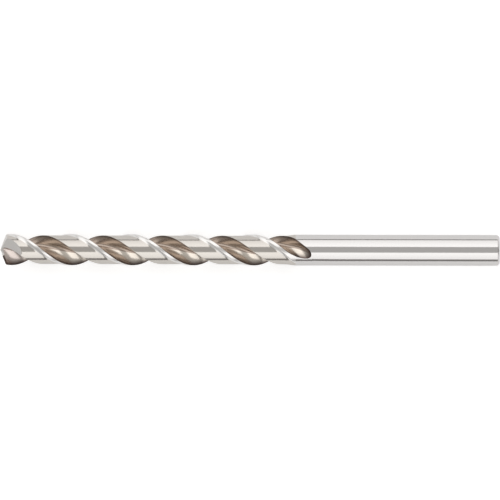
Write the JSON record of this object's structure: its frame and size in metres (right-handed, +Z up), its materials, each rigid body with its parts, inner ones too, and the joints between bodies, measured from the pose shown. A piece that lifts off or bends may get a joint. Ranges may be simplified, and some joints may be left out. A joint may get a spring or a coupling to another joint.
{
  "type": "twist drill bit",
  "caption": "Straight-shank jobber twist drill with right-hand helical flutes, ground margins and a split point.",
  "frame": {"origin": "centre of the shank's flat end face, on the drill's axis", "axes": "+X along the drill's axis, from the point towards the shank; the point's apex is at -X; +Z up, the drill lying on a surface; the lips are parallel to Y"},
  "size_m": [0.101, 0.0062, 0.0062],
  "materials": {
    "tool_steel": "bright ground high-speed steel, polished lands and shank, slightly bronzed flutes"
  },
  "bodies": {
    "root": {"drill_bit": "tool_steel"}
  },
  "joints": []
}
